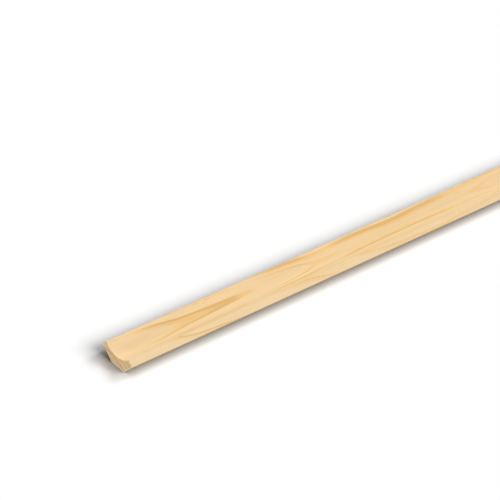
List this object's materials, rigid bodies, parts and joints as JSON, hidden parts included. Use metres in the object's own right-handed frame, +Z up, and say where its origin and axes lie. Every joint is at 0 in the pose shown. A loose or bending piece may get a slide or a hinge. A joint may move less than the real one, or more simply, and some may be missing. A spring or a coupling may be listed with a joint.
{
  "type": "inside corner trim",
  "caption": "Length of planed pine cove moulding with bevelled edges, a flat back and two flat lips, which covers the inside corner between two surfaces.",
  "frame": {"origin": "middle of the flat back that the trim lies on, half way along its length", "axes": "+X along the length, +Y across it, +Z up from the flat back towards the cove"},
  "size_m": [2.4, 0.035, 0.0142],
  "materials": {
    "pine": "planed bare pine"
  },
  "bodies": {
    "root": {"corner_trim": "pine"}
  },
  "joints": []
}
